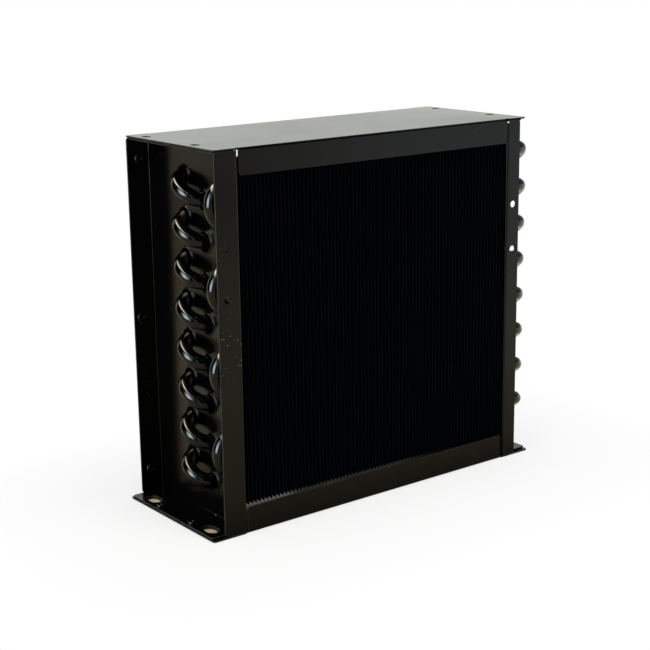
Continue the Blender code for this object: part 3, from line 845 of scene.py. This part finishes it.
def build_casing():
    top_half = INNER_WIDTH / 2 + TOP_OVERHANG
    base_half = INNER_WIDTH / 2 + FOOT
    foot_top = BASE_SHEET + SEAT_GAP + SHEET
    up = Matrix.Rotation(-math.pi / 2, 4, "Y")
    forward = Matrix.Rotation(-math.pi / 2, 4, "Z")
    for side, word in ((-1, "left"), (1, "right")):
        node = "end_plate_" + word
        foot = "foot_flange_" + word
        adopt(end_plate(word + "_end_plate", side), "casing_coat", node, foot,
              "top_flange_" + word)
        web = side * (INNER_WIDTH + SHEET) / 2
        collars = at_every_tube(word + "_tube_collars", collar_ring(side), web * MM, CASING)
        adopt(collars, "casing_coat", node)
        points = zip(REAR_BUTTON_INSETS[side], REAR_BUTTON_HEIGHTS)
        for number, (inset_x, z) in enumerate(points, 1):
            place = (side * (INNER_WIDTH / 2 + inset_x), DEPTH / 2 - SHEET, z)
            point = button(f"{word}_rear_button_{number}", REAR_BUTTON, forward, place)
            adopt(point, "casing_coat", node)
        for number, y in enumerate(FOOT_BUTTON_Y, 1):
            place = (side * (base_half - FOOT_BUTTON_INSET), y, foot_top)
            point = button(f"{word}_foot_button_{number}", FOOT_BUTTON, up, place)
            adopt(point, "casing_coat", foot)
    for number, y in enumerate(TACK_BEAD_Y, 1):
        place = (-INNER_WIDTH / 2 - SHEET, y, foot_top)
        adopt(tack_bead(f"left_tack_bead_{number}", place), "casing_coat", "foot_flange_left")
    place = (-INNER_WIDTH / 2 - FRONT_HOLE_INSET[-1], -DEPTH / 2, FRONT_HOLE_HEIGHTS[0])
    adopt(plug("front_hole_plug", place), "casing_coat", "end_plate_left")

    top_holes = [(round_hole(x, y, TOP_HOLE), EDGE_CHAMFER)
                 for x in (TOP_HOLE_INSET - top_half, top_half - TOP_HOLE_INSET)
                 for y in TOP_HOLE_Y]
    lip_ends = (TOP_LIP_GAP - INNER_WIDTH / 2, INNER_WIDTH / 2 - SEAT_GAP)
    lipped_plate("top_plate_folded", top_half, SHEET, HEIGHT - SHEET / 2, -1, lip_ends, TOP_LIP,
                 top_holes, TOP_WEAR_AND_HIGHLIGHT)
    slots = [(slot_hole(x, y, SLOT_WIDTH, SLOT_LENGTH), EDGE_CHAMFER)
             for x in (SLOT_INSET - base_half, base_half - SLOT_INSET) for y in SLOT_Y]
    lip_ends = (SEAT_GAP - INNER_WIDTH / 2, INNER_WIDTH / 2 - BASE_LIP_GAP)
    lipped_plate("base_plate_folded", base_half, BASE_SHEET, BASE_SHEET / 2, 1, lip_ends,
                 BASE_LIP, slots, CUT_WEAR_AND_HIGHLIGHT)


# Circuit

def swept(name, stations, across):
    """Skin rings round a path; each station is (centre, direction, radius, squeeze)."""
    bm = bmesh.new()
    rings = []
    for centre, direction, radius, squeeze in stations:
        inward = direction.cross(across).normalized()
        ring = []
        for step in range(TUBE_SIDES):
            angle = 2 * math.pi * step / TUBE_SIDES
            ring.append(bm.verts.new(centre + inward * (radius * squeeze * math.cos(angle))
                                     + across * (radius * math.sin(angle))))
        rings.append(ring)
    for low, high in zip(rings, rings[1:]):
        for index in range(TUBE_SIDES):
            after = (index + 1) % TUBE_SIDES
            bm.faces.new((low[index], low[after], high[after], high[index]))
    bm.faces.new(rings[0])
    bm.faces.new(rings[-1])
    bmesh.ops.recalc_face_normals(bm, faces=bm.faces)
    return finished(name, bm, TUBES, SMOOTH_TUBE)


def straight(tube, ahead, profile):
    """Stations along one tube, from a profile of (place past the legs' end, radius)."""
    return [(tube + Vector((LEG_END + x, 0, 0)), ahead, radius, 1.0) for x, radius in profile]


def half_circle(first, last, start_x, way):
    """Stations of a bend between two neighbouring tubes, flattened a little on its outside."""
    middle = (first + last) / 2
    radius = (first - last).length / 2
    side = (first - last).normalized()
    out = Vector((way, 0, 0))
    stations = []
    for step in range(BEND_STEPS + 1):
        angle = math.pi * step / BEND_STEPS
        centre = middle + side * (radius * math.cos(angle)) + out * (radius * math.sin(angle))
        centre.x += start_x
        direction = out * math.cos(angle) - side * math.sin(angle)
        stations.append((centre, direction, TUBE / 2, 1.0 - BEND_FLATTENING * math.sin(angle)))
    return stations


def u_tube(first, last, profile, start_x, way):
    """Two straight ends with this profile, joined by a half circle to the left or the right."""
    ahead = Vector((way, 0, 0))
    stations = straight(first, ahead, profile) + half_circle(first, last, start_x, way)
    stations += straight(last, -ahead, profile[::-1])
    return swept("shape", stations, (first - last).cross(ahead).normalized())


def hairpin(first, last):
    """Two legs, a bend at the left and open bells at the right."""
    return u_tube(first, last, BELL_PROFILE, BEND_START, -1)


def return_bend(first, last):
    """U-bend brazed into two bells, with a small fillet of braze at each."""
    return u_tube(first, last, BRAZE_PROFILE, LEG_END + RETURN_LEG, 1)


def open_end(name, tube):
    """Straight end of the circuit, brazed into its bell and open at the right."""
    bore = TUBE / 2 - STUB_WALL
    tip = ((STUB_LENGTH - 0.15, TUBE / 2), (STUB_LENGTH, TUBE / 2 - 0.15),
           (STUB_LENGTH, bore + 0.1), (STUB_LENGTH - 0.15, bore),
           (STUB_LENGTH - STUB_BORE_DEPTH, bore))
    stations = straight(tube, Vector((1, 0, 0)), BRAZE_PROFILE + tip)
    return swept(name, stations, Vector((0, 0, 1)))


def tube_at(row, index):
    return Vector((0.0, *tube_place(row, index)))


def build_circuit():
    front, middle, rear = 0, 1, 2
    repeat = repeat_tree()
    runs = (("rear_hairpins", hairpin(tube_at(rear, 0), tube_at(middle, 0)), 8, 1,
             "hairpin_rear_{}"),
            ("front_hairpins", hairpin(tube_at(front, 0), tube_at(front, 1)), 4, 2,
             "hairpin_front_{}"),
            ("front_return_bends", return_bend(tube_at(front, 0), tube_at(middle, 0)), 8, 1,
             "return_bend_front_{}"),
            ("rear_return_bends", return_bend(tube_at(rear, 1), tube_at(rear, 2)), 3, 2,
             "return_bend_rear_{}"))
    for name, shape, count, pitches, node in runs:
        run = repeat.grow(name, {"Shape": shape, "Count": count, "Material": TUBES,
                                 "Step": (0.0, 0.0, -pitches * TUBE_PITCH * MM)})
        smooth(run, SMOOTH_TUBE)
        bpy.data.objects.remove(shape)
        adopt(run, "tube_coat", *[node.format(index + 1) for index in range(count)])
    adopt(open_end("inlet_end", tube_at(rear, 0)), "tube_coat", "inlet_tube")
    adopt(open_end("outlet_end", tube_at(rear, PER_ROW - 1)), "tube_coat", "outlet_tube")


# Fins

def build_fins():
    low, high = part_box("fin_pack")
    middle = (low + high) / 2
    fins = fin_stack_tree().grow("thin_fins", {
        "Fins": FIN_COUNT, "Pitch": FIN_PITCH * MM, "Thickness": FIN_THICKNESS * MM,
        "Depth": high.y - low.y, "Height": high.z - low.z, "Ripple": FIN_RIPPLE * MM,
        "Ripples": FIN_RIPPLES, "Unevenness": FIN_UNEVENNESS * MM,
        "First Fin": (low.x + FIN_THICKNESS * MM / 2, middle.y, middle.z), "Material": FINS})
    smooth(fins, SMOOTH_SHEET)
    adopt(fins, "fin_coat", "fin_pack")
    inner = TUBE / 2 + SLEEVE_INNER
    outer = TUBE / 2 + SLEEVE_OUTER
    start, end = low.x / MM, high.x / MM
    sleeve = turned("shape", [(outer, start), (outer, end), (inner, end), (inner, start)], 1,
                    SLEEVE_SIDES, FINS)
    adopt(at_every_tube("fin_sleeves", sleeve, 0.0, FINS), "fin_coat", "fin_pack")


# Camera, floor and lights

def place_camera():
    """Camera at the photograph's place."""
    azimuth = math.radians(CAMERA_AZIMUTH)
    elevation = math.radians(CAMERA_ELEVATION)
    roll = math.radians(CAMERA_ROLL)
    back = Vector((math.sin(azimuth) * math.cos(elevation),
                   -math.cos(azimuth) * math.cos(elevation), math.sin(elevation)))
    right = Vector((math.cos(azimuth), math.sin(azimuth), 0.0))
    up = back.cross(right)
    turned_right = right * math.cos(roll) + up * math.sin(roll)
    turned_up = up * math.cos(roll) - right * math.sin(roll)
    shift = turned_right * CAMERA_SHIFT[0] + turned_up * CAMERA_SHIFT[1]
    place = Vector(CAMERA_AIM) + (back * CAMERA_DISTANCE - shift) * HEIGHT
    data = bpy.data.cameras.new("camera")
    data.sensor_width = SENSOR_WIDTH
    data.lens = FOCAL_PIXELS / PICTURE_PIXELS * SENSOR_WIDTH
    data.clip_start = 0.01
    data.clip_end = 50.0
    camera = bpy.data.objects.new("camera", data)
    matrix = Matrix((turned_right, turned_up, back)).transposed().to_4x4()
    camera.matrix_world = Matrix.Translation(place * MM) @ matrix
    bpy.context.scene.collection.objects.link(camera)
    bpy.context.scene.camera = camera


def flat_stage(name, size, middle, coat, turn=(0.0, 0.0, 0.0)):
    """A flat rectangle that belongs to the studio and not to the coil."""
    bm = bmesh.new()
    bmesh.ops.create_grid(bm, x_segments=1, y_segments=1, size=0.5)
    bmesh.ops.scale(bm, vec=(*size, 1.0), verts=bm.verts)
    mesh = bpy.data.meshes.new(name)
    bm.to_mesh(mesh)
    bm.free()
    mesh.materials.append(coat.material)
    item = bpy.data.objects.new(name, mesh)
    item.rotation_euler = turn
    item.location = middle
    bpy.context.scene.collection.objects.link(item)
    return item


def clear_of_base(coat, axes):
    """Distance from the rectangle that the coil stands on."""
    beyond = []
    for value, half in zip(axes, BASE_HALF):
        past = coat.maths("SUBTRACT", coat.maths("ABSOLUTE", value), half)
        beyond.append(coat.maths("MAXIMUM", past, 0.0))
    joined = coat.node("ShaderNodeCombineXYZ", {0: beyond[0], 1: beyond[1]})
    return coat.node("ShaderNodeVectorMath", {0: joined.outputs[0]},
                     operation="LENGTH").outputs["Value"]


def mirrored_floor(coat, x, y, away):
    """Colour of the floor in reflections, which stands for the photographer's room."""
    # darkest next to the base: a painted shadow of the coil on the floor
    glow = coat.band(away, FLOOR_GLOW)
    # brighter to the right and to the front
    slant = coat.maths("SUBTRACT", x, coat.times(coat.maths("ABSOLUTE", y), FLOOR_SLANT))
    bright = coat.times(coat.ramp(slant, -0.16, 0.07), coat.ramp(away, 0.1, 0.5))
    gain = coat.mix(bright, WHITE, FLOOR_BRIGHT)
    # warmer and dimmer behind the coil
    gain = coat.mix(coat.ramp(y, 0.2, 0.6), gain, FLOOR_REAR)
    # a dim ring at the left
    dim = coat.times(coat.ramp(slant, -0.11, -0.14), coat.ramp(away, 0.7, 1.1))
    dim = coat.times(dim, coat.ramp(away, 1.42, 1.34))
    gain = coat.mix(dim, gain, FLOOR_DIM)
    return coat.mix(1.0, glow, gain, blend_type="MULTIPLY")


def lay_floor():
    """Pale floor: it keeps the shadow near the coil and turns into the white background."""
    coat = Coat("pale_floor", Base_Color=FLOOR_PAPER, Roughness=0.9, Specular_IOR_Level=0.0)
    x, y, _ = coat.axes()
    away = clear_of_base(coat, (x, y))
    rays = coat.node("ShaderNodeLightPath").outputs
    seen = coat.times(rays["Is Camera Ray"], coat.ramp(away, 0.0, 0.12, 0.7, 1.0))
    paper = coat.node("ShaderNodeMixShader",
                      {0: seen, 1: coat.shader.outputs[0], 2: coat.glow(WHITE)})
    mirrored = coat.glow(mirrored_floor(coat, x, y, away))
    mixed = coat.node("ShaderNodeMixShader",
                      {0: rays["Is Glossy Ray"], 1: paper.outputs[0], 2: mirrored})
    coat.use(mixed.outputs[0])
    flat_stage("floor", (12.0, 12.0), (0.0, 0.0, -0.0004), coat)
    card = Coat("beige_card", Base_Color=BEIGE, Roughness=0.9, Specular_IOR_Level=0.0)
    flat_stage("card_under_base", (0.258, 0.094), (0.0, 0.0, -0.0002), card)


def flag_coat(name, **values):
    return Coat(name, Base_Color=BLACK, Roughness=1.0, Specular_IOR_Level=0.0, **values)


def hang_flags():
    """Cloths that only reflections see: the black ones keep the gloss coat black, and the grey one
    and the overhead one glow, as painted reflections on it.
    """
    black = flag_coat("black_flag")
    grey = flag_coat("grey_glow_panel", Emission_Color=GREY_GLOW, Emission_Strength=0.36)
    sky = flag_coat("overhead_glow_panel", Emission_Color=SKY_GLOW)
    sky.set("Emission Strength", sky.ramp(sky.axes()[1], 0.1, 1.0, 0.0, 0.8))
    across = (0.0, math.pi / 2, 0.0)
    along = (math.pi / 2, 0.0, 0.0)
    level = (0.0, 0.0, 0.0)
    for name, coat, size, middle, turn in (
            ("flag_left", black, (3.0, 5.4), (-1.9, 1.3, 1.35), across),
            ("flag_right", grey, (2.6, 2.8), (1.9, -0.3, 1.45), across),
            ("flag_front", black, (4.2, 2.4), (0.2, -2.2, 1.35), along),
            ("flag_overhead", sky, (4.2, 4.4), (0.0, 0.0, 2.2), level)):
        reflections_only(flat_stage(name, size, middle, coat, turn))


def reflections_only(item):
    item.visible_camera = False
    item.visible_diffuse = False
    item.visible_transmission = False
    item.visible_shadow = False


def light_world():
    """White where it is seen or mirrored, and a plain soft grey light otherwise."""
    world = bpy.data.worlds.new("studio")
    bpy.context.scene.world = world
    world.use_nodes = True
    tree = world.node_tree
    rays = add_node(tree, "ShaderNodeLightPath").outputs
    direct = add_node(tree, "ShaderNodeMath",
                      {0: rays["Is Camera Ray"], 1: rays["Is Glossy Ray"]}, operation="MAXIMUM")
    seen = add_node(tree, "ShaderNodeMath",
                    {0: direct.outputs[0], 1: rays["Is Transmission Ray"]}, operation="MAXIMUM")
    colour = add_node(tree, "ShaderNodeMix", {0: seen.outputs[0], 6: ROOM_LIGHT, 7: WHITE},
                      data_type="RGBA")
    mirrored = add_node(tree, "ShaderNodeMix", {0: rays["Is Glossy Ray"], 6: colour.outputs[2],
                                                7: ROOM_MIRRORED}, data_type="RGBA")
    sky = tree.nodes["Background"]
    tree.links.new(mirrored.outputs[2], sky.inputs["Color"])
    sky.inputs["Strength"].default_value = 1.0


def aimed(place):
    """Turn from a place towards the coil."""
    return (Vector(AIM) - Vector(place)).to_track_quat("-Z", "Y").to_euler()


def add_lamp(name, place, size, power, colour):
    data = bpy.data.lights.new(name, "AREA")
    data.shape = "RECTANGLE"
    data.size, data.size_y = size
    data.energy = power
    data.color = colour
    lamp = bpy.data.objects.new(name, data)
    lamp.location = place
    lamp.rotation_euler = aimed(place)
    bpy.context.scene.collection.objects.link(lamp)


def toward(azimuth, elevation, distance):
    """A place seen from the coil; azimuth 0 is the front and -90 the left."""
    a = math.radians(azimuth)
    e = math.radians(elevation)
    return (distance * math.sin(a) * math.cos(e), -distance * math.cos(a) * math.cos(e),
            AIM[2] + distance * math.sin(e))


def soft_card(name, place, size, strength, colour):
    """Glowing card that fades towards its rim; only reflections see it."""
    coat = Coat(name)
    stretched = coat.node("ShaderNodeMapping",
                          {0: coat.place, "Scale": (2 / size[0], 2 / size[1], 1.0)})
    out = coat.node("ShaderNodeVectorMath", {0: stretched.outputs[0]}, operation="LENGTH")
    inside = coat.maths("MAXIMUM", coat.maths("SUBTRACT", 1.0, out.outputs["Value"]), 0.0)
    fade = coat.maths("POWER", inside, CARD_FADE)
    coat.use(coat.glow((*colour, 1.0), coat.times(fade, strength)))
    reflections_only(flat_stage(name, size, place, coat, aimed(place)))


def light_studio():
    soft_card("cool_card", toward(-90, 10, 1.25), (1.0, 1.5), 36.0, COOL)
    soft_card("warm_card", toward(-118, 50, 1.3), (2.2, 0.36), 55.0, WARM)
    add_lamp("soft_left", toward(-80, 35, 1.6), (1.0, 1.0), 8.0, (1.0, 0.97, 0.93))
    add_lamp("soft_front", toward(10, 55, 1.8), (1.0, 1.0), 14.0, (1.0, 0.99, 0.97))


place_camera()
build_casing()
build_circuit()
build_fins()
lay_floor()
hang_flags()
light_world()
light_studio()
bpy.context.scene.view_settings.view_transform = "Standard"
